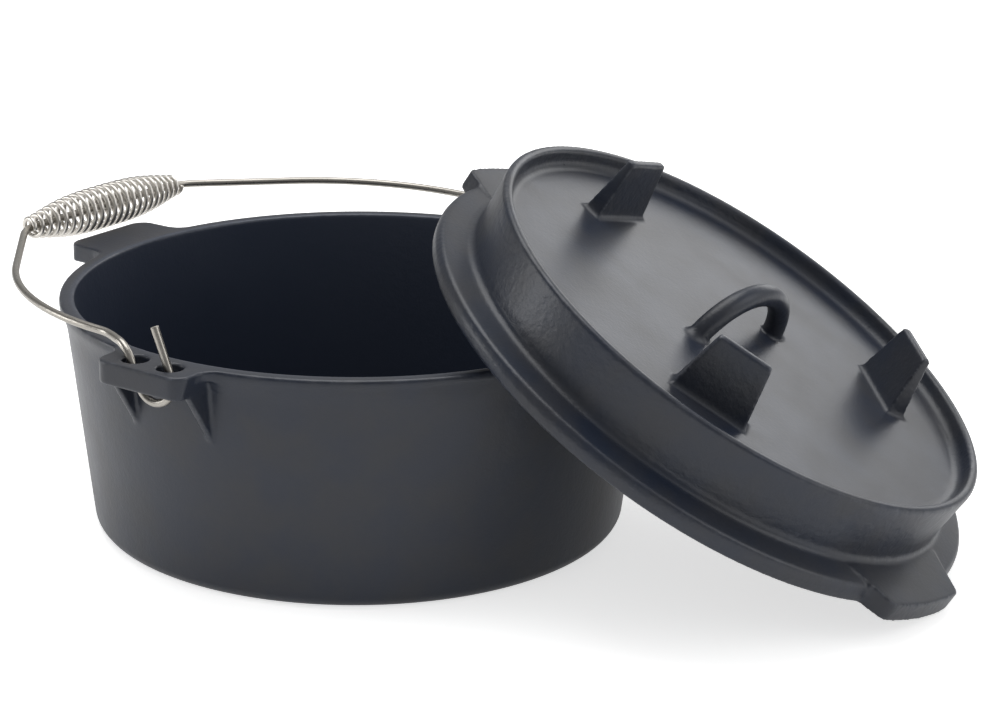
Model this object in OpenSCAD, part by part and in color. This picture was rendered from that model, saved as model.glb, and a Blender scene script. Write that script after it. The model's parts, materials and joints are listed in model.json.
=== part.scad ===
// Camp dutch oven: a flat-bottomed cast-iron pot with a wire bail, a coil grip and a legged lid leaning on it.
// Frame: origin at the middle of the pot's base, +Z up, bail ears on the Y axis, lifting tabs on the X axis.

/* [Pot] */
// Height of the pot from its base to the top of the rim
pot_h = 119; // [80:1:180]
// Outer radius of the rim
rim_r = 150; // [120:1:190]
// Width of the flat top of the rim
rim_w = 7.5; // [5:0.5:12]
// How far the rim bead stands out from the wall
rim_bead = 3.2; // [1:0.1:6]
// Height of the rim bead, with its run-out into the wall
rim_bead_h = 11; // [6:0.5:20]
// How much narrower the base is than the wall at the rim, per side
wall_draft = 12; // [4:0.5:25]
// Thickness of the wall
wall_t = 4.8; // [4:0.1:9]
// Thickness of the floor
floor_t = 5.2; // [4:0.1:10]
// Outer radius where the wall turns into the base
base_round = 8; // [3:0.5:20]
// Inner radius where the wall turns into the floor
inner_round = 14; // [6:0.5:30]

/* [Ears] */
// How far an ear stands out from the rim
ear_reach = 17; // [14:0.5:26]
// Full width of an ear
ear_w = 54; // [44:0.5:80]
// Thickness of an ear
ear_t = 11.5; // [8:0.1:15]
// Radius of an ear's outer corners
ear_corner = 8; // [3:0.5:12]
// Diameter of the two holes in an ear
ear_hole_d = 12.8; // [11:0.1:14]
// Distance between the two holes of an ear
ear_hole_gap = 21.3; // [19:0.1:24]
// Distance from the rim's edge out to the middle of the holes
ear_hole_out = 5; // [3:0.1:8]
// Thickness of the two webs under an ear
web_t = 3.4; // [2.6:0.2:6]
// How far the webs run down the wall below an ear
web_drop = 23; // [12:1:45]

/* [Pot tabs] */
// How far a lifting tab stands out from the rim
tab_reach = 24; // [12:0.5:36]
// Full width of a lifting tab
tab_w = 59; // [40:0.5:90]
// Thickness of a lifting tab
tab_t = 10; // [6:0.5:14]
// Radius of a tab's outer corners
tab_corner = 9; // [3:0.5:14]
// Radius where ears and tabs run into the rim
root_round = 9; // [3:0.5:16]

/* [Lid] */
// How far the flange stands out past the pot's rim
flange_over = 1.5; // [0:0.1:4]
// Thickness of the flange at its edge
flange_t = 9.7; // [6:0.1:14]
// Height of the parting line on the flange's edge
flange_part_z = 5.5; // [2.5:0.1:7]
// Draft of the flange's edge, above and below the parting line
flange_draft = 0.9; // [0.2:0.1:1.5]
// Height of the lid from the flange's seat to the top of the coal rim
lid_h = 45.5; // [36:0.5:60]
// How far the coal rim lies inside the flange's edge
coal_rim_in = 14.7; // [9:0.1:20]
// Width of the top of the coal rim
coal_rim_w = 5; // [3:0.1:8]
// Depth of the coal tray inside the rim
tray_depth = 9.5; // [5:0.1:16]
// Thickness of the lid's plate
plate_t = 6.7; // [5:0.1:10]
// Thickness of the lid's side wall
lid_wall_t = 4.8; // [4:0.1:8]
// Depth of the ring that centres the lid in the pot
register_h = 3; // [1.5:0.1:6]
// Clearance of that ring inside the pot's rim
register_gap = 1.2; // [0.5:0.1:3]
// How far a lid tab stands out past the flange
lid_tab_reach = 10.5; // [6:0.5:20]
// Full width of a lid tab at the flange's edge
lid_tab_w = 72; // [48:1:100]
// How much a lid tab narrows from there to its end, per side
lid_tab_taper = 4.7; // [0.5:0.1:8]
// Thickness of a lid tab at its end
lid_tab_t = 10.3; // [7:0.1:12]
// Radius of a lid tab's outer corners
lid_tab_corner = 6; // [4:0.5:12]
// Radius where a lid tab runs into the flange
lid_tab_root = 3; // [1:0.5:8]

/* [Lid legs and handle] */
// Number of legs
leg_count = 3; // [3:1:4]
// Radius of the circle that the legs stand on
leg_circle = 93.5; // [75:0.5:110]
// Height of a leg above the plate
leg_h = 32; // [28:0.5:45]
// Width of a leg at the plate
leg_base_w = 40; // [30:0.5:56]
// Width of a leg at its tip
leg_tip_w = 28; // [16:0.5:40]
// Thickness of a leg at the plate
leg_base_t = 10; // [7:0.5:16]
// Thickness of a leg at its tip
leg_tip_t = 4.5; // [3:0.5:9]
// Radius of the cast fillet round a foot
foot_fillet = 3.5; // [1:0.1:6]
// Distance between the feet of the loop handle
loop_span = 68; // [50:1:90]
// Height of the loop handle's middle line above the plate
loop_rise = 25; // [18:0.5:34]
// Diameter of the loop handle
loop_d = 11; // [8:0.1:14]

/* [Lid at rest against the pot] */
// Lean of the lid away from level
lean = 31.9; // [28:0.1:34]
// Direction in which the lid slopes down, from the X axis
lean_way = 18.6; // [10:0.1:26]
// Turn of the lid about its own axis
lid_turn = 155.5; // [150:0.5:160]
// Gap left where the lid touches the ground or the pot
rest_gap = 0.4; // [0.2:0.1:1]

/* [Bail] */
// Diameter of the bail wire
wire_d = 4; // [3:0.1:5]
// Lean of the hooks towards the bail when it is folded down
hook_lean = 22.5; // [15:0.5:24]
// How far the hook's bend hangs below the middle of the ear
hook_drop = 3; // [0:0.5:5]
// Height of the hook's free end above the ear
hook_end = 18; // [10:0.5:26]
// Bend radius of the knee above an ear
knee_bend = 12; // [8:0.5:15]
// Height of the wire above the rim where it leaves the knee
leg_rise = 6; // [4:0.5:10]
// Distance from the pivot to the start of the arch
leg_run = 36; // [32:1:48]
// How far the arch lies inside the hooks, per side
arch_in = 1; // [0:0.5:8]
// How far the arch and the grip hang over towards one ear
bail_skew = 7.5; // [0:0.5:10]
// Distance from the pivot to the corner that the arch rounds off
arch_corner = 101; // [90:1:145]
// Gap between the grip and the edge of the tab that it rests above
grip_gap = 6.5; // [5.5:0.5:12]
// Height of the grip's middle line above the rim
grip_rise = 11.5; // [11:0.5:16]
// Bend radius beside the grip
grip_bend = 30; // [20:1:32]

/* [Coil grip] */
// Length of the coil grip
grip_len = 118; // [80:1:130]
// Outer diameter of the coil at its middle
grip_mid_d = 23.6; // [18:0.2:24]
// Outer diameter of the coil's end turns
grip_end_d = 12; // [11.6:0.1:13]
// Clearance of the coil's end turns round the bail
grip_play = 0.3; // [0.2:0.05:1]
// Diameter of the coil's wire
coil_wire_d = 2.4; // [2:0.1:2.8]
// Number of turns
coil_turns = 23; // [12:1:24]

/* [Hidden] */
$fn = 96;
// Rounded stretches of an outline turn at most this much per step
arc_step = 10;
// Depth to which one form of a casting runs into the next
bury = 2;
// Depth at which a cast fillet starts inside the face that it runs into
fillet_sink = 0.3;
// Wire thins by this much in a bend, and the straight runs lap over the bend's ends
bend_thin = 0.03;
bend_lap = 0.2;
edge_round = 1.4;
// Draft on the sides of ears and tabs, from top to underside
cast_draft = 2.2;

wall_r = rim_r - rim_bead;
base_r = wall_r - wall_draft;
rim_in_r = rim_r - rim_w;
ear_hole_r = rim_r + ear_hole_out;
pivot_z = pot_h - ear_t / 2;
web_y = ear_w / 2 - cast_draft - web_t / 2;

// Radius of the wall's outside at a height
function wall_at(z) = base_r + wall_draft * z / (pot_h - rim_bead_h);

flange_r = rim_r + flange_over;
lid_rim_r = flange_r - coal_rim_in;
lid_wall_r = lid_rim_r - 2;
plate_top = lid_h - tray_depth;
ceiling = plate_top - plate_t;
register_r = rim_in_r - register_gap;
lid_tab_end = flange_r + lid_tab_reach;
shoulder_rise = 3;
shoulder_round = 4;

// The lid stands on a corner of its lower tab and leans its ceiling on a corner of the pot's tab.
tab_half = lid_tab_w / 2 - lid_tab_taper;
tab_swing = 180 - lid_turn - asin((tab_half - lid_tab_corner) / (lid_tab_end - lid_tab_corner));
lid_low = lid_tab_corner + (lid_tab_end - lid_tab_corner) * cos(max(0, tab_swing));
lid_z = rest_gap + lid_low * sin(lean);
tab_end = rim_r + tab_reach;
tab_touch = tab_corner
    + (tab_end - tab_corner) * cos(lean_way)
    + (tab_w / 2 - tab_corner) * sin(lean_way);
lid_out = tab_touch + ((pot_h - lid_z) * cos(lean) - ceiling + rest_gap) / sin(lean);

// The bail is drawn from its pivot line, with x towards the grip and y along the ears.
hook_r = ear_hole_gap / 2;
hook_bend = hook_r - 0.6;
arm = [sin(hook_lean), 0, cos(hook_lean)];
across = [cos(hook_lean), 0, -sin(hook_lean)];
grip_x = tab_end + grip_gap;
grip_z = ear_t / 2 + grip_rise;
leg_z = ear_t / 2 + leg_rise;
bail_slope = (grip_z - leg_z) / (grip_x - leg_run);
knee_rise = leg_z + (hook_r * across.x - leg_run) * bail_slope - hook_r * across.z;
knee_len = knee_rise / (arm.z - arm.x * bail_slope);
free_len = (hook_end + ear_t / 2 - hook_r * sin(hook_lean)) / arm.z;
arch_y = ear_hole_r - arch_in;

coil_steps = 8;
coil_sides = 6;
coil_gap_steps = coil_steps - 2;
coil_run = grip_len - coil_wire_d;
coil_end_r = (grip_end_d - coil_wire_d) / 2;
coil_mid_r = (grip_mid_d - coil_wire_d) / 2;

// The bail bends just inside the coil's mouths. It lies a little outside the coil's middle line along the
// grip and as far inside it at the end turns, where it clears the straight steps that the coil is drawn in.
grip_turn = atan2(grip_x - arch_corner, arch_y - coil_run / 2);
end_reach = (wire_d + coil_wire_d) / 2 + grip_play;
grip_lie = max(0.1, coil_end_r * cos(180 / coil_steps) - end_reach / cos(grip_turn / 2));
bend_in = sqrt(4 * grip_lie * (grip_bend - grip_lie));
grip_y = coil_run / 2 - bend_in + grip_bend * tan(grip_turn / 2);
wire_x = grip_x + grip_lie;

// Outlines: corner points with a radius each become polygons with rounded corners

function unit(v) = v / norm(v);

function corner_arc(a, b, c, r) =
    let (u = unit(a - b), v = unit(c - b))
    let (half = acos(u * v) / 2)
    let (centre = b + unit(u + v) * r / sin(half))
    let (from = b + u * r / tan(half) - centre)
    let (side = sign(u.y * v.x - u.x * v.y))
    let (sweep = (180 - 2 * half) * side)
    let (steps = ceil(abs(sweep) / arc_step))
    [for (i = [0:steps])
        let (t = sweep * i / steps)
        centre + [from.x * cos(t) - from.y * sin(t), from.x * sin(t) + from.y * cos(t)]];

function xy(p) = [p.x, p.y];

function rounded(corners) =
    let (n = len(corners))
    [for (i = [0:n - 1])
        let (p = corners[i], a = corners[(i + n - 1) % n], c = corners[(i + 1) % n])
        each p.z == 0 ? [xy(p)] : corner_arc(xy(a), xy(p), xy(c), p.z)];

// Round rods: straight runs joined by bends, each bend in the plane of its two runs

function turn_at(p, i) = acos(unit(p[i] - p[i - 1]) * unit(p[i + 1] - p[i]));
function trim_at(p, r, i) = i == 0 || i == len(p) - 1 ? 0 : r[i] * tan(turn_at(p, i) / 2);
function run_from(p, r, i) = i == 0 || i == len(p) - 1 ? 0 : trim_at(p, r, i) - bend_lap;
function square_to(v) = unit(cross(v, abs(unit(v).y) < 0.9 ? [0, 1, 0] : [1, 0, 0]));

module placed(origin, x, y) {
    z = cross(x, y);
    multmatrix([
        [x.x, y.x, z.x, origin.x],
        [x.y, y.y, z.y, origin.y],
        [x.z, y.z, z.z, origin.z],
        [0, 0, 0, 1]])
        children();
}

module bent_rod(p, r, d) {
    for (i = [0:len(p) - 2]) {
        along = unit(p[i + 1] - p[i]);
        from = p[i] + along * run_from(p, r, i);
        to = p[i + 1] - along * run_from(p, r, i + 1);
        x = square_to(along);
        placed(from, x, cross(along, x))
            cylinder(h = norm(to - from), d = d);
    }
    for (i = [1:len(p) - 2]) {
        before = unit(p[i] - p[i - 1]);
        after = unit(p[i + 1] - p[i]);
        inward = unit(after - before * (before * after));
        centre = p[i] - before * trim_at(p, r, i) + inward * r[i];
        placed(centre, -inward, before)
            rotate_extrude(angle = turn_at(p, i))
                translate([r[i], 0])
                    circle(d = d - bend_thin);
    }
}

// Pot: one casting with its rim, bail ears, webs and lifting tabs

pot_outline = rounded([
    [0, 0, 0],
    [base_r, 0, base_round],
    [wall_r, pot_h - rim_bead_h, 10],
    [rim_r, pot_h - rim_bead_h / 3, 3],
    [rim_r, pot_h, edge_round],
    [rim_in_r, pot_h, edge_round],
    [base_r - wall_t, floor_t, inner_round],
    [0, floor_t, 0]]);

// A tongue stands out from a ring along +X and runs into the ring with a round on each side. It narrows
// downwards by the draft and outwards by the taper. Its end is straight, or bowed to follow the ring.
module tongue(
        inner, ring, under, reach, w, t, corner, root, root_t,
        bowed = false, taper = 0, draft = cast_draft) {
    end = ring + reach;
    end_w = w - 2 * taper;
    bow = asin(end_w / 2 / end);
    end_x = bowed ? end * cos(bow) : end;
    foot_x = sqrt(ring * ring - w * w / 4);
    inner_w = w + 2 * taper * (foot_x - inner) / (end_x - foot_x);
    intersection() {
        linear_extrude(t)
            polygon(rounded([
                [inner, -inner_w / 2, 0],
                [end_x, -end_w / 2, corner],
                each [for (i = [-2:2]) if (bowed) [end * cos(bow * i / 3), end * sin(bow * i / 3), 0]],
                [end_x, end_w / 2, corner],
                [inner, inner_w / 2, 0]]));
        rotate([90, 0, 90])
            linear_extrude(end + bury)
                polygon([
                    [-inner_w / 2 + draft, -bury],
                    [inner_w / 2 - draft, -bury],
                    [inner_w / 2 + fillet_sink, t + bury],
                    [-inner_w / 2 - fillet_sink, t + bury]]);
    }
    root_out = ring - fillet_sink + root;
    near_x = sqrt(pow(root_out, 2) - pow(w / 2 + root, 2));
    swing = w / 2 + root - taper * (near_x - foot_x) / (end_x - foot_x);
    root_x = sqrt(pow(root_out, 2) - pow(swing, 2));
    intersection() {
        linear_extrude(t)
            for (side = [-1, 1])
                difference() {
                    polygon([
                        [inner, side * (w / 2 - 2 * cast_draft)],
                        [root_x, side * (w / 2 - 2 * cast_draft)],
                        [root_x, side * swing],
                        [root_x, side * swing] * (ring - bury) / root_out]);
                    translate([root_x, side * swing])
                        circle(root);
                }
        rotate_extrude()
            polygon([
                [inner - bury, t + bury],
                [end, t + bury],
                [end, t - bury],
                [ring - fillet_sink, t - root_t],
                [under, -fillet_sink],
                [inner - bury, -fillet_sink]]);
    }
}

module rim_tongue(reach, w, t, corner)
    tongue(
        inner = rim_in_r + fillet_sink, ring = rim_r, under = wall_r - fillet_sink,
        reach = reach, w = w, t = t, corner = corner,
        root = root_round, root_t = rim_bead_h / 2);

module ear() {
    web_top = pot_h - ear_t;
    web_in = wall_at(web_top - web_drop);
    web_out = rim_r + ear_reach / 2;
    web_low = web_top - web_drop * (web_out - web_in + bury) / (web_out - web_in);
    translate([0, 0, web_top])
        rim_tongue(ear_reach, ear_w, ear_t, ear_corner);
    for (side = [-1, 1])
        translate([0, side * web_y + web_t / 2, 0])
            rotate([90, 0, 0])
                linear_extrude(web_t)
                    polygon([
                        [web_in - bury, web_top + bury],
                        [web_in - bury, web_low],
                        [web_out, web_top],
                        [web_out, web_top + bury]]);
}

module pot_tab() {
    translate([0, 0, pot_h - tab_t])
        rim_tongue(tab_reach, tab_w, tab_t, tab_corner);
}

module pot() {
    color([0.16, 0.16, 0.17])
        difference() {
            union() {
                rotate_extrude()
                    polygon(pot_outline);
                for (way = [90, 270])
                    rotate(way)
                        ear();
                for (way = [0, 180])
                    rotate(way)
                        pot_tab();
            }
            for (way = [90, 270], side = [-1, 1])
                rotate(way)
                    translate([ear_hole_r, side * ear_hole_gap / 2, pot_h - ear_t - bury])
                        cylinder(h = ear_t + 2 * bury, d = ear_hole_d);
        }
}

// Lid: one casting with flange, coal rim, legs, loop handle and two tabs, drawn level with its seat at z = 0

lid_outline = rounded([
    [0, ceiling, 0],
    [lid_wall_r - lid_wall_t, ceiling, 9],
    [lid_wall_r - lid_wall_t / 2, -register_h, edge_round / 2],
    [register_r, -register_h, edge_round / 2],
    [register_r, 0, edge_round / 2],
    [flange_r - flange_draft, 0, edge_round],
    [flange_r, flange_part_z, 0.5],
    [flange_r - flange_draft, flange_t, 2],
    [lid_wall_r, flange_t + shoulder_rise, shoulder_round],
    [lid_rim_r, lid_h, 2],
    [lid_rim_r - coal_rim_w, lid_h, 2],
    [lid_rim_r - coal_rim_w - 1, plate_top, 5],
    [0, plate_top, 0]]);

// A tapered foot in profile, spreading into the plate with a fillet on each side
function foot_outline(base, tip, h) = rounded([
    [-base / 2 - foot_fillet, -bury, 0],
    [base / 2 + foot_fillet, -bury, 0],
    [base / 2 + foot_fillet, -fillet_sink, 0],
    [base / 2, -fillet_sink, foot_fillet],
    [tip / 2, h, edge_round],
    [-tip / 2, h, edge_round],
    [-base / 2, -fillet_sink, foot_fillet],
    [-base / 2 - foot_fillet, -fillet_sink, 0]]);

module leg() {
    translate([leg_circle, 0, plate_top])
        intersection() {
            rotate([90, 0, 90])
                translate([0, 0, -leg_base_w])
                    linear_extrude(2 * leg_base_w)
                        polygon(foot_outline(leg_base_w, leg_tip_w, leg_h));
            rotate([90, 0, 0])
                translate([0, 0, -leg_base_w])
                    linear_extrude(2 * leg_base_w)
                        polygon(foot_outline(leg_base_t, leg_tip_t, leg_h));
        }
}

module loop_handle() {
    arch_r = (loop_span * loop_span / 4 + loop_rise * loop_rise) / (2 * loop_rise);
    below = loop_rise - arch_r - bury;
    start = asin(-below / arch_r);
    translate([0, 0, plate_top + loop_rise - arch_r])
        rotate([90, 0, 90])
            rotate(start)
                rotate_extrude(angle = 180 - 2 * start)
                    translate([arch_r, 0])
                        circle(d = loop_d);
    // Each foot spreads into the plate, square to the bar where it leaves the plate.
    tilt = asin((arch_r - loop_rise) / arch_r);
    for (side = [-1, 1])
        translate([0, side * loop_span / 2, plate_top])
            rotate([side * tilt, 0, 0])
                translate([0, 0, -bury])
                    rotate_extrude()
                        difference() {
                            translate([0, -bury])
                                square([loop_d / 2 + foot_fillet, 2 * bury + foot_fillet]);
                            translate([loop_d / 2 + 2 * foot_fillet - fillet_sink, bury + foot_fillet])
                                circle(2 * foot_fillet);
                        }
}

// A lid tab falls away from the height of the shoulder to its end.
module lid_tab() {
    root_t = flange_t + shoulder_rise;
    fall = (root_t - lid_tab_t) / (lid_tab_end - lid_wall_r);
    intersection() {
        tongue(
            inner = lid_wall_r - bury, ring = flange_r, under = flange_r - bury,
            reach = lid_tab_reach, w = lid_tab_w, t = root_t + bury, corner = lid_tab_corner,
            root = lid_tab_root, root_t = flange_t + bury,
            bowed = true, taper = lid_tab_taper, draft = -bury);
        rotate_extrude()
            polygon([
                [lid_wall_r - 2 * bury, -bury],
                [lid_tab_end + bury, -bury],
                [lid_tab_end + bury, lid_tab_t - fall * bury],
                [lid_wall_r - 2 * bury, root_t + fall * 2 * bury]]);
    }
}

module lid_on_seat() {
    rotate_extrude()
        polygon(lid_outline);
    for (way = [0, 180])
        rotate(way)
            lid_tab();
    for (i = [0:leg_count - 1])
        rotate(360 * i / leg_count)
            leg();
    loop_handle();
}

module lid() {
    color([0.22, 0.22, 0.23])
        rotate(lean_way)
            translate([lid_out, 0, lid_z])
                rotate([0, lean, 0])
                    rotate(lid_turn)
                        lid_on_seat();
}

// Bail: one length of round wire, hooked through both holes of each ear

function bail_side(y_way) =
    let (at_hook = [0, y_way * ear_hole_r, 0])
    let (knee = across * hook_r + arm * knee_len)
    [at_hook - across * hook_r + arm * free_len,
     at_hook - across * hook_r - arm * (hook_r + hook_drop),
     at_hook + across * hook_r - arm * (hook_r + hook_drop),
     at_hook + knee,
     [leg_run, y_way * arch_y + bail_skew, leg_z],
     [arch_corner, y_way * arch_y + bail_skew, leg_z + (arch_corner - leg_run) * bail_slope],
     [wire_x, y_way * grip_y + bail_skew, leg_z + (wire_x - leg_run) * bail_slope]];

function reversed(list) = [for (i = [len(list) - 1:-1:0]) list[i]];

// The arch takes up the run from its corner to the bend beside the grip or the bend where the leg ends.
leg_bend = 25;
bail_far = bail_side(1);
bail_near = bail_side(-1);
bail_mid = concat(bail_far, [[wire_x, bail_skew, bail_far[6].z]]);
grip_run = norm(bail_far[6] - bail_far[5]) - grip_bend * tan(turn_at(bail_mid, 6) / 2);

function leg_rest(side) = norm(side[5] - side[4]) - leg_bend * tan(turn_at(side, 4) / 2);

arch_trim = min(grip_run, leg_rest(bail_far), leg_rest(bail_near)) - 1;
arch_round = arch_trim / tan(turn_at(bail_far, 5) / 2);
bend_half = [0, hook_bend, hook_bend, knee_bend, leg_bend, arch_round, grip_bend];

module bail() {
    color([0.78, 0.78, 0.77])
        translate([0, 0, pivot_z])
            mirror([1, 0, 0])
                bent_rod(
                    concat(bail_far, reversed(bail_near)),
                    concat(bend_half, reversed(bend_half)),
                    wire_d);
}

// Coil grip: one unbroken wire wound to a barrel, closing in on the bail at both ends

coil_last = coil_turns * coil_steps;

function coil_swell(y) = pow(1 - min(1, pow(abs(2 * y / coil_run), 3)), 1.6);
function coil_r(y) = coil_end_r + (coil_mid_r - coil_end_r) * coil_swell(y);

function coil_at(k) =
    let (y = coil_run * (k / coil_last - 0.5), a = 360 * k / coil_steps)
    [coil_r(y) * cos(a), y, coil_r(y) * sin(a)];

coil_curve = [for (k = [0:coil_last]) coil_at(k)];
coil_head = unit(coil_curve[0] - coil_curve[1]);
coil_tail = unit(coil_curve[coil_last] - coil_curve[coil_last - 1]);
coil_line = concat(
    [coil_curve[0] + coil_head * coil_wire_d],
    coil_curve,
    [coil_curve[coil_last] + coil_tail * coil_wire_d]);

coil_gap = min([
    for (i = [0:len(coil_line) - 1 - coil_gap_steps], j = [i + coil_gap_steps:len(coil_line) - 1])
        norm(coil_line[i] - coil_line[j])]) - coil_wire_d;
echo(coil_least_gap = coil_gap);

function coil_ring(k) =
    let (n = len(coil_line), p = coil_line[k])
    let (way = unit(coil_line[min(k + 1, n - 1)] - coil_line[max(k - 1, 0)]))
    let (side = unit(cross(way, [p.x, 0, p.z])))
    let (up = cross(side, way))
    [for (j = [0:coil_sides - 1])
        let (a = 360 * j / coil_sides)
        p + (up * cos(a) + side * sin(a)) * coil_wire_d / 2];

module wound_tube() {
    n = len(coil_line);
    points = [for (k = [0:n - 1]) each coil_ring(k)];
    walls = [for (k = [0:n - 2], j = [0:coil_sides - 1])
        let (a = k * coil_sides + j, b = k * coil_sides + (j + 1) % coil_sides)
        each [[a, b + coil_sides, b], [a, a + coil_sides, b + coil_sides]]];
    last = (n - 1) * coil_sides;
    ends = [for (j = [1:coil_sides - 2])
        each [[0, j, j + 1], [last, last + j + 1, last + j]]];
    polyhedron(points, concat(walls, ends));
}

module spring_grip() {
    color([0.74, 0.74, 0.73])
        translate([-grip_x, bail_skew, pivot_z + grip_z])
            wound_tube();
}

pot();
lid();
bail();
spring_grip();
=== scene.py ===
import json
import math

import bpy
from mathutils import Matrix, Vector


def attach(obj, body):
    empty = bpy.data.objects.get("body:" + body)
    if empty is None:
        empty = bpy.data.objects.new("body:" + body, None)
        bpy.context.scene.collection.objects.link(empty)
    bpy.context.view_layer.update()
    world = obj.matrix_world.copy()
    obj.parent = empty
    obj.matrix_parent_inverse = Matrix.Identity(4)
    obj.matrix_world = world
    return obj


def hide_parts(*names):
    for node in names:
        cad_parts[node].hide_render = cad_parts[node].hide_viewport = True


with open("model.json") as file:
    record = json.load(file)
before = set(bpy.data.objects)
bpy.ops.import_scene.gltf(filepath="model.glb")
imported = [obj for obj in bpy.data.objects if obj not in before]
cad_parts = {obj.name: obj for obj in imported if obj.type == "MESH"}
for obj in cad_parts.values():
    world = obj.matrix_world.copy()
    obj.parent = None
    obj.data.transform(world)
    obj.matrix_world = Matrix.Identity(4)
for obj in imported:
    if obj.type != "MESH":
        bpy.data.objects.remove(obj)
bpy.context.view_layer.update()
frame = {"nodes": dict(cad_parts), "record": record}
scene = bpy.context.scene
scene.view_settings.view_transform = "Standard"


# Camera. A long lens about a metre and a half away, above the rim and turned towards the near bail ear,
# so that the inside of the pot and the top of the leaning lid both show.
LENS_MM = 100.8
SENSOR_MM = 36
CAMERA_AT = (0.8358, -1.0697, 0.5220)
HEADING = math.radians(34.98)
LOOK_DOWN = math.radians(18.04)
ROLL = math.radians(0.73)

lens = bpy.data.cameras.new("camera")
lens.lens = LENS_MM
lens.sensor_width = SENSOR_MM
camera = bpy.data.objects.new("camera", lens)
camera.matrix_world = (
    Matrix.Translation(CAMERA_AT)
    @ Matrix.Rotation(HEADING, 4, "Z")
    @ Matrix.Rotation(math.pi / 2 - LOOK_DOWN, 4, "X")
    @ Matrix.Rotation(ROLL, 4, "Z")
)
scene.collection.objects.link(camera)
scene.camera = camera


# Studio. A sheet of matt white paper runs out of sight under the oven. The room round it is white at the
# back and falls off towards its near end, and soft lamps hang overhead, behind and at both sides.
WHITE = (1, 1, 1, 1)
ROOM_GLOW = 0.5
ROOM_BRIGHT_END = (0.30, 0.75, 0.59)
ROOM_NEAR, ROOM_FAR = 0.27, 0.65
ROOM_DIM_UP_TO, ROOM_BRIGHT_FROM = 0.1, 0.95
PAPER_WHITE = "#f4f4f4"
PAPER_LIFT = 0.65
PAPER_IN_GLOSS = 0.5
PAPER_HALF = 12.0


def linear(hex_colour):
    channels = [int(hex_colour[i:i + 2], 16) / 255 for i in (1, 3, 5)]
    return [c / 12.92 if c <= 0.04045 else ((c + 0.055) / 1.055) ** 2.4 for c in channels] + [1]


def add(tree, kind, settings=None, **links):
    # A setting is the value of a socket, by name or number, or else a choice on the node itself. A link is
    # named for its socket, with _ in place of a space, or is _ and the socket's number.
    node = tree.nodes.new(kind)
    for name, value in (settings or {}).items():
        if isinstance(name, int) or name in node.inputs:
            node.inputs[name].default_value = value
        else:
            setattr(node, name, value)
    for name, output in links.items():
        socket = int(name[1:]) if name[0] == "_" else name.replace("_", " ")
        tree.links.new(output, node.inputs[socket])
    return node


def seen_straight(tree, ray):
    # One for what the camera sees directly or through something clear.
    return add(
        tree, "ShaderNodeMath", {"operation": "MAXIMUM"},
        _0=ray["Is Camera Ray"], _1=ray["Is Transmission Ray"]).outputs[0]


def bare_material(name):
    material = bpy.data.materials.new(name)
    material.use_nodes = True
    material.node_tree.nodes.clear()
    return material


def white_room():
    world = bpy.data.worlds.new("white studio room")
    world.use_nodes = True
    tree = world.node_tree
    tree.nodes.clear()
    ray = add(tree, "ShaderNodeLightPath").outputs
    facing = add(
        tree, "ShaderNodeVectorMath", {"operation": "DOT_PRODUCT", 1: ROOM_BRIGHT_END},
        _0=add(tree, "ShaderNodeTexCoord").outputs["Generated"])
    fall = add(
        tree, "ShaderNodeMapRange", {
            "From Min": ROOM_DIM_UP_TO, "From Max": ROOM_BRIGHT_FROM,
            "To Min": ROOM_NEAR, "To Max": ROOM_FAR},
        Value=facing.outputs["Value"])
    lit = add(tree, "ShaderNodeBackground", {"Strength": ROOM_GLOW, "Color": WHITE})
    mirrored = add(tree, "ShaderNodeBackground", {"Color": WHITE}, Strength=fall.outputs["Result"])
    shown = add(tree, "ShaderNodeBackground", {"Strength": 1, "Color": WHITE})
    cast = add(
        tree, "ShaderNodeMixShader",
        Fac=ray["Is Glossy Ray"], _1=lit.outputs[0], _2=mirrored.outputs[0])
    seen = add(
        tree, "ShaderNodeMixShader",
        Fac=seen_straight(tree, ray), _1=cast.outputs[0], _2=shown.outputs[0])
    add(tree, "ShaderNodeOutputWorld", Surface=seen.outputs[0])
    return world


def white_paper():
    # Uncoated paper: matt and even. It is lifted to white for the camera, and less in a reflection, and it
    # keeps the oven's shadow.
    material = bare_material("matt white paper")
    tree = material.node_tree
    ray = add(tree, "ShaderNodeLightPath").outputs
    sheet = add(tree, "ShaderNodeBsdfDiffuse", {"Color": linear(PAPER_WHITE)})
    lift = add(tree, "ShaderNodeEmission", {"Color": WHITE, "Strength": PAPER_LIFT})
    lifted = add(tree, "ShaderNodeAddShader", _0=sheet.outputs[0], _1=lift.outputs[0])
    mirrored = add(
        tree, "ShaderNodeMath", {"operation": "MULTIPLY", 1: PAPER_IN_GLOSS}, _0=ray["Is Glossy Ray"])
    shown = add(
        tree, "ShaderNodeMath", {"operation": "MAXIMUM"},
        _0=seen_straight(tree, ray), _1=mirrored.outputs[0])
    white = add(
        tree, "ShaderNodeMixShader", Fac=shown.outputs[0], _1=sheet.outputs[0], _2=lifted.outputs[0])
    add(tree, "ShaderNodeOutputMaterial", Surface=white.outputs[0])
    return material


def softbox(name, at, aim, width, height, watts):
    lamp = bpy.data.lights.new(name, "AREA")
    lamp.shape = "RECTANGLE"
    lamp.size = width
    lamp.size_y = height
    lamp.energy = watts
    box = bpy.data.objects.new(name, lamp)
    aimed = (Vector(aim) - Vector(at)).to_track_quat("-Z", "Y").to_matrix().to_4x4()
    box.matrix_world = Matrix.Translation(at) @ aimed
    scene.collection.objects.link(box)


scene.world = white_room()

corners = [(x * PAPER_HALF, y * PAPER_HALF, 0) for x, y in ((-1, -1), (1, -1), (1, 1), (-1, 1))]
sweep = bpy.data.meshes.new("paper floor")
sweep.from_pydata(corners, [], [(0, 1, 2, 3)])
sweep.materials.append(white_paper())
floor = bpy.data.objects.new("paper_floor", sweep)
scene.collection.objects.link(floor)

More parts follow.
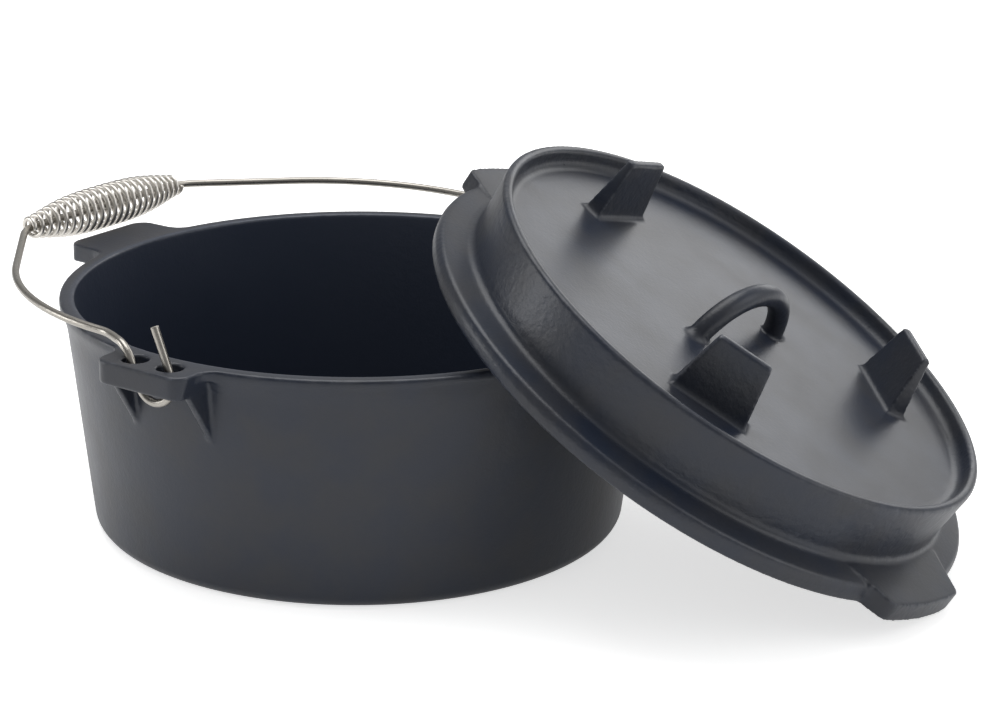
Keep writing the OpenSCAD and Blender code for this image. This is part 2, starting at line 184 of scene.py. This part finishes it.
softbox("overhead softbox", at=(-0.25, 0.2, 1.7), aim=(0.05, 0.0, 0.05), width=1.4, height=1.4, watts=17)
softbox("back softbox", at=(0.08, 0.98, 0.48), aim=(0.17, 0.0, 0.12), width=0.6, height=0.4, watts=1.5)
softbox("left softbox", at=(-1.25, -0.8, 0.4), aim=(0.15, 0.0, 0.12), width=0.5, height=0.6, watts=4)
softbox("right softbox", at=(1.6, 0.5, 0.8), aim=(0.1, 0.0, 0.1), width=1.1, height=1.1, watts=5)


# Pot. One casting in grey iron with its rolled rim, two bail ears on webs and two lifting tabs. It was
# poured in a sand mould, shot clean, oiled and baked, and the sand left every edge slightly round.
MM_IN_M = 1000

# The film is black and browner in soft pools. It is paler at the edges, partly rubbed and partly a
# painted highlight, and paler inside the pot, which is painted light.
IRON_BLACK = "#1d2432"
IRON_BROWNED = "#262931"
# Pale edge colour: partly rubbed film, partly a painted highlight along the edges.
IRON_RUBBED_AND_HIGHLIT = "#62656d"
# Painted light: the inside of the pot is given this paler colour.
IRON_INSIDE_PAINTED_LIGHT = "#2b3241"
FILM_IOR = 1.5
FILM_ROUGH_LOW, FILM_ROUGH_HIGH = 0.355, 0.405
RUBBED_SMOOTHER = 0.12

# The size of the pools, the pale edge patches (rubbed film and painted highlight) and the sand's grain,
# where on a noise, an edge or a slope each begins and is full, and the range that most of a noise lies in.
POOL_MM = 26
BROWN_STARTS, BROWN_FULL = 0.38, 0.62
PATCH_MM = 9
PATCH_STARTS, PATCH_FULL = 0.42, 0.68
EDGE_STARTS, EDGE_FULL = 0.515, 0.56
SAND_MM, SAND_DEEP_MM = 1.5, 0.12
SAND_SHARE = 0.75
PEEL_LEVEL_SHARE = 0.2
LEVEL_FROM, STEEP_FROM = 0.85, 0.4
NOISE_LOW, NOISE_HIGH = 0.3, 0.7

# The slope of the pot's wall and the radius of the wall's middle carried down to the ground, which mark the
# inside where light is painted, and the pot's own peel.
POT_DRAFT = 0.105
POT_MID_WALL = 0.1323
WALL_BLUR = 0.001
POT_PEEL_MM, POT_PEEL_DEEP_MM = 5, 0.10
POT_UP = (0, 0, 1)

# How finely the skin is drawn anew, how much it is eased and evened, and the share of faces that it keeps.
CAST_SKIN_MM = 0.8
CAST_EASE = 3
CAST_KEEP = 0.15
EVEN_PASSES = 60
LOOK_AROUND = 10
EDGE_BELOW, EVEN_ABOVE = 0.992, 0.998
EASE_SHARE = 0.5
LAST_EASE = 3


def rubbed_and_highlit_edges(tree, place):
    # One where an edge stands out, in broken patches: partly where handling has rubbed the film and partly
    # a painted highlight along the edge.
    patch_noise = add(
        tree, "ShaderNodeTexNoise", {"Scale": MM_IN_M / PATCH_MM, "Detail": 4, "Roughness": 0.65},
        Vector=place)
    edge = add(
        tree, "ShaderNodeMapRange", {"From Min": EDGE_STARTS, "From Max": EDGE_FULL},
        Value=add(tree, "ShaderNodeNewGeometry").outputs["Pointiness"])
    patchy = add(
        tree, "ShaderNodeMapRange", {"From Min": PATCH_STARTS, "From Max": PATCH_FULL},
        Value=patch_noise.outputs["Fac"])
    return add(
        tree, "ShaderNodeMath", {"operation": "MULTIPLY"},
        _0=edge.outputs[0], _1=patchy.outputs[0]).outputs[0]


def within_wall(tree, place):
    # One inside the middle of the pot's sloping wall, and nought outside it: where light is painted inside
    # the pot.
    height = add(tree, "ShaderNodeSeparateXYZ", Vector=place).outputs["Z"]
    level = add(tree, "ShaderNodeVectorMath", {"operation": "MULTIPLY", 1: (1, 1, 0)}, _0=place)
    off_axis = add(tree, "ShaderNodeVectorMath", {"operation": "LENGTH"}, _0=level.outputs[0])
    drafted = add(
        tree, "ShaderNodeMath", {"operation": "MULTIPLY_ADD", 1: -POT_DRAFT},
        _0=height, _2=off_axis.outputs["Value"])
    return add(
        tree, "ShaderNodeMapRange", {
            "From Min": POT_MID_WALL + WALL_BLUR, "From Max": POT_MID_WALL - WALL_BLUR},
        Value=drafted.outputs[0]).outputs[0]


def sand_skin(tree, place, normal, peel_mm, peel_deep_mm, up):
    # Fine grain from the sand all over, on an orange peel that is strong on steep faces and faint on level
    # ones.
    sand = add(
        tree, "ShaderNodeTexNoise", {"Scale": MM_IN_M / SAND_MM, "Detail": 3, "Roughness": 0.6},
        Vector=place)
    peel = add(tree, "ShaderNodeTexNoise", {"Scale": MM_IN_M / peel_mm, "Detail": 2}, Vector=place)
    upright = add(tree, "ShaderNodeVectorMath", {"operation": "DOT_PRODUCT", 1: up}, _0=normal)
    flat = add(tree, "ShaderNodeMath", {"operation": "ABSOLUTE"}, _0=upright.outputs["Value"])
    steep = add(
        tree, "ShaderNodeMapRange", {
            "From Min": LEVEL_FROM, "From Max": STEEP_FROM, "To Min": PEEL_LEVEL_SHARE, "To Max": 1},
        Value=flat.outputs[0])
    rippled = add(
        tree, "ShaderNodeBump", {"Distance": peel_deep_mm / MM_IN_M},
        Height=peel.outputs["Fac"], Strength=steep.outputs[0])
    return add(
        tree, "ShaderNodeBump", {"Strength": SAND_SHARE, "Distance": SAND_DEEP_MM / MM_IN_M},
        Height=sand.outputs["Fac"], Normal=rippled.outputs[0]).outputs[0]


def cast_iron(name, peel_mm, peel_deep_mm, up, paint_inside_light=False):
    # Grey cast iron, sand-cast and seasoned: the oil set to a thin hard black film, which gives a satin
    # black with a clear sheen at a low angle and soft browner pools. Edges are paler, partly rubbed by
    # handling and partly a painted highlight. With paint_inside_light the inside of the pot's wall is
    # painted paler, as painted light.
    material = bare_material(name)
    tree = material.node_tree
    mapped = add(tree, "ShaderNodeTexCoord").outputs
    place = mapped["Object"]
    rubbed_and_highlit = rubbed_and_highlit_edges(tree, place)
    pool = add(
        tree, "ShaderNodeTexNoise", {"Scale": MM_IN_M / POOL_MM, "Detail": 4}, Vector=place).outputs["Fac"]
    browned = add(
        tree, "ShaderNodeMapRange", {"From Min": BROWN_STARTS, "From Max": BROWN_FULL}, Value=pool)
    film = add(
        tree, "ShaderNodeMixRGB", {"Color1": linear(IRON_BLACK), "Color2": linear(IRON_BROWNED)},
        Fac=browned.outputs[0])
    # Painted light: the inside of the pot is given a paler colour.
    if paint_inside_light:
        film = add(
            tree, "ShaderNodeMixRGB", {"Color2": linear(IRON_INSIDE_PAINTED_LIGHT)},
            Fac=within_wall(tree, place), Color1=film.outputs[0])
    # Paler edges: partly rubbed film, partly a painted highlight along them.
    colour = add(
        tree, "ShaderNodeMixRGB", {"Color2": linear(IRON_RUBBED_AND_HIGHLIT)}, Fac=rubbed_and_highlit, Color1=film.outputs[0])
    rough = add(
        tree, "ShaderNodeMapRange", {
            "From Min": NOISE_LOW, "From Max": NOISE_HIGH,
            "To Min": FILM_ROUGH_LOW, "To Max": FILM_ROUGH_HIGH},
        Value=pool)
    polished = add(
        tree, "ShaderNodeMath", {"operation": "MULTIPLY_ADD", 1: -RUBBED_SMOOTHER},
        _0=rubbed_and_highlit, _2=rough.outputs[0])
    skin = add(
        tree, "ShaderNodeBsdfPrincipled", {"IOR": FILM_IOR},
        Base_Color=colour.outputs[0], Roughness=polished.outputs[0],
        Normal=sand_skin(tree, place, mapped["Normal"], peel_mm, peel_deep_mm, up))
    add(tree, "ShaderNodeOutputMaterial", Surface=skin.outputs[0])
    return material


def even_skin(passes):
    # Faint flats left by drawing a round wall in steps are evened out, and true edges are left alone.
    group = bpy.data.node_groups.new("even skin", "GeometryNodeTree")
    for way in ("INPUT", "OUTPUT"):
        group.interface.new_socket("Geometry", in_out=way, socket_type="NodeSocketGeometry")
    skin = add(group, "NodeGroupInput").outputs[0]
    normal = add(group, "GeometryNodeInputNormal").outputs[0]
    around = add(
        group, "GeometryNodeBlurAttribute", {"data_type": "FLOAT_VECTOR", "Iterations": LOOK_AROUND},
        Value=normal)
    alike = add(
        group, "ShaderNodeVectorMath", {"operation": "DOT_PRODUCT"}, _0=normal, _1=around.outputs[0])
    smooth = add(
        group, "ShaderNodeMapRange", {"From Min": EDGE_BELOW, "From Max": EVEN_ABOVE},
        Value=alike.outputs["Value"])
    spread = add(
        group, "GeometryNodeBlurAttribute", {"data_type": "FLOAT_VECTOR", "Iterations": passes},
        Value=add(group, "GeometryNodeInputPosition").outputs[0], Weight=smooth.outputs[0])
    moved = add(group, "GeometryNodeSetPosition", Geometry=skin, Position=spread.outputs[0])
    add(group, "NodeGroupOutput", Geometry=moved.outputs[0])
    return group


def ease(piece, name, passes):
    eased = piece.modifiers.new(name, "SMOOTH")
    eased.factor = EASE_SHARE
    eased.iterations = passes


def round_off(piece, skin_mm, passes, keep, even=0):
    # The skin is drawn anew in small equal faces and eased, which rounds each edge a little, and is then
    # thinned out where it is flat.
    skin = piece.modifiers.new("skin", "REMESH")
    skin.mode = "VOXEL"
    skin.voxel_size = skin_mm / MM_IN_M
    skin.use_smooth_shade = True
    ease(piece, "rounds", passes)
    if even:
        piece.modifiers.new("even skin", "NODES").node_group = even_skin(even)
        ease(piece, "last pass", LAST_EASE)
    thin = piece.modifiers.new("fewer faces", "DECIMATE")
    thin.ratio = keep


def dress(piece, material):
    piece.data.materials.clear()
    piece.data.materials.append(material)


pot = frame["nodes"]["pot"]
dress(pot, cast_iron("seasoned cast iron, pot", POT_PEEL_MM, POT_PEEL_DEEP_MM, POT_UP, paint_inside_light=True))
round_off(pot, CAST_SKIN_MM, CAST_EASE, CAST_KEEP, EVEN_PASSES)


# Lid. A second casting in the same iron: a flange with two tabs, an upright side wall, and on top a coal
# rim, three legs and a loop handle. It came from a coarser mould and leans on one of the pot's tabs.
LID_LEAN = math.radians(31.9)
LID_WAY = math.radians(18.6)
LID_UP = (
    math.sin(LID_LEAN) * math.cos(LID_WAY),
    math.sin(LID_LEAN) * math.sin(LID_WAY),
    math.cos(LID_LEAN),
)
LID_PEEL_MM, LID_PEEL_DEEP_MM = 4, 0.26

lid = frame["nodes"]["lid"]
dress(lid, cast_iron("seasoned cast iron, lid", LID_PEEL_MM, LID_PEEL_DEEP_MM, LID_UP))
round_off(lid, CAST_SKIN_MM, CAST_EASE, CAST_KEEP, EVEN_PASSES)


# Bail. One length of stainless wire, 4 mm thick, bent cold to an arch with a hook at each end that goes
# down through one hole of an ear and up through the other.
# Painted shade: the bail's wire is given a darker grey than the coil's, though both are the same stainless.
BAIL_SHADED_BRIGHT, BAIL_SHADED_DULL = "#b0aca5", "#98948d"
WIRE_ROUGH_LOW, WIRE_ROUGH_HIGH = 0.26, 0.36
CLOUD_MM = 14
FLECK_MM, FLECK_DEEP_MM = 0.9, 0.03
FLECK_SHARE = 0.12
BAIL_SKIN_MM = 0.4
BAIL_EASE = 2
BAIL_KEEP = 0.6


def drawn_wire(name, bright, dull):
    # Stainless steel wire pulled through a die: a warm grey metal whose fine lines break up the highlights.
    # The lines are finer than the picture shows, so they are drawn as specks of about 1 mm.
    material = bare_material(name)
    tree = material.node_tree
    place = add(tree, "ShaderNodeTexCoord").outputs["Object"]
    fleck = add(
        tree, "ShaderNodeTexNoise", {"Scale": MM_IN_M / FLECK_MM, "Detail": 3}, Vector=place).outputs["Fac"]
    cloud = add(
        tree, "ShaderNodeTexNoise", {"Scale": MM_IN_M / CLOUD_MM, "Detail": 3}, Vector=place).outputs["Fac"]
    colour = add(
        tree, "ShaderNodeMixRGB", {"Color1": linear(dull), "Color2": linear(bright)}, Fac=cloud)
    rough = add(
        tree, "ShaderNodeMapRange", {
            "From Min": NOISE_LOW, "From Max": NOISE_HIGH,
            "To Min": WIRE_ROUGH_LOW, "To Max": WIRE_ROUGH_HIGH},
        Value=fleck)
    lines = add(
        tree, "ShaderNodeBump", {"Strength": FLECK_SHARE, "Distance": FLECK_DEEP_MM / MM_IN_M},
        Height=fleck)
    skin = add(
        tree, "ShaderNodeBsdfPrincipled", {"Metallic": 1},
        Base_Color=colour.outputs[0], Roughness=rough.outputs[0], Normal=lines.outputs[0])
    add(tree, "ShaderNodeOutputMaterial", Surface=skin.outputs[0])
    return material


bail = frame["nodes"]["bail"]
dress(bail, drawn_wire("drawn stainless wire, bail", BAIL_SHADED_BRIGHT, BAIL_SHADED_DULL))
round_off(bail, BAIL_SKIN_MM, BAIL_EASE, BAIL_KEEP)


# Coil grip. A thinner stainless wire wound on a barrel-shaped former and slipped over the bail before it
# was bent. Its end turns close in on the bail, and it can turn and rattle there.
COIL_WIRE = 0.0024
COIL_TURNS = 23
COIL_LONG = 0.118
COIL_ACROSS = 0.0236
COIL_END_R = 0.0048
BARREL_FULL, BARREL_TAPER = 3, 1.6
STEPS_A_TURN = 40
WIRE_SIDES = 14
END_BEVEL = 0.0004
END_SHARE = 0.7
# Painted light: the coil's wire is given a paler grey than the bail's, though both are the same stainless.
COIL_LIT_BRIGHT, COIL_LIT_DULL = "#dedad4", "#c4c0b9"


def coil_radius(along):
    swell = (1 - abs(along) ** BARREL_FULL) ** BARREL_TAPER
    return COIL_END_R + ((COIL_ACROSS - COIL_WIRE) / 2 - COIL_END_R) * swell


def coil_line():
    run = COIL_LONG - COIL_WIRE
    count = COIL_TURNS * STEPS_A_TURN
    line = []
    for k in range(count + 1):
        along = 2 * k / count - 1
        turn = 2 * math.pi * k / STEPS_A_TURN
        radius = coil_radius(along)
        line.append(Vector((radius * math.cos(turn), run * along / 2, radius * math.sin(turn))))
    return line


def coil_mesh(middle):
    # A round tube along the coil's line, with each cut end slightly bevelled.
    line = coil_line()
    rings = [(p, 1) for p in line]
    rings.insert(0, (line[0] + (line[0] - line[1]).normalized() * END_BEVEL, END_SHARE))
    rings.append((line[-1] + (line[-1] - line[-2]).normalized() * END_BEVEL, END_SHARE))
    points, faces = [], []
    last = len(rings) - 1
    for k, (p, share) in enumerate(rings):
        ahead = (rings[min(k + 1, last)][0] - rings[max(k - 1, 0)][0]).normalized()
        side = ahead.cross(Vector((p.x, 0, p.z))).normalized()
        out = side.cross(ahead)
        for j in range(WIRE_SIDES):
            a = 2 * math.pi * j / WIRE_SIDES
            points.append(middle + p + (out * math.cos(a) + side * math.sin(a)) * share * COIL_WIRE / 2)
    for k in range(last):
        for j in range(WIRE_SIDES):
            a, b = k * WIRE_SIDES + j, k * WIRE_SIDES + (j + 1) % WIRE_SIDES
            faces.append((a, b, b + WIRE_SIDES, a + WIRE_SIDES))
    faces.append(tuple(reversed(range(WIRE_SIDES))))
    faces.append(tuple(last * WIRE_SIDES + j for j in range(WIRE_SIDES)))
    mesh = bpy.data.meshes.new("wound coil")
    mesh.from_pydata(points, [], faces)
    mesh.shade_smooth()
    return mesh


turning = [j for j in frame["record"]["behaviour"]["joints"] if j["child"] == "spring_grip"][0]
coil = bpy.data.objects.new("coil_grip", coil_mesh(Vector(turning["pos_m"])))
dress(coil, drawn_wire("drawn stainless wire, coil", COIL_LIT_BRIGHT, COIL_LIT_DULL))
scene.collection.objects.link(coil)
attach(coil, "spring_grip")
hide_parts("spring_grip")
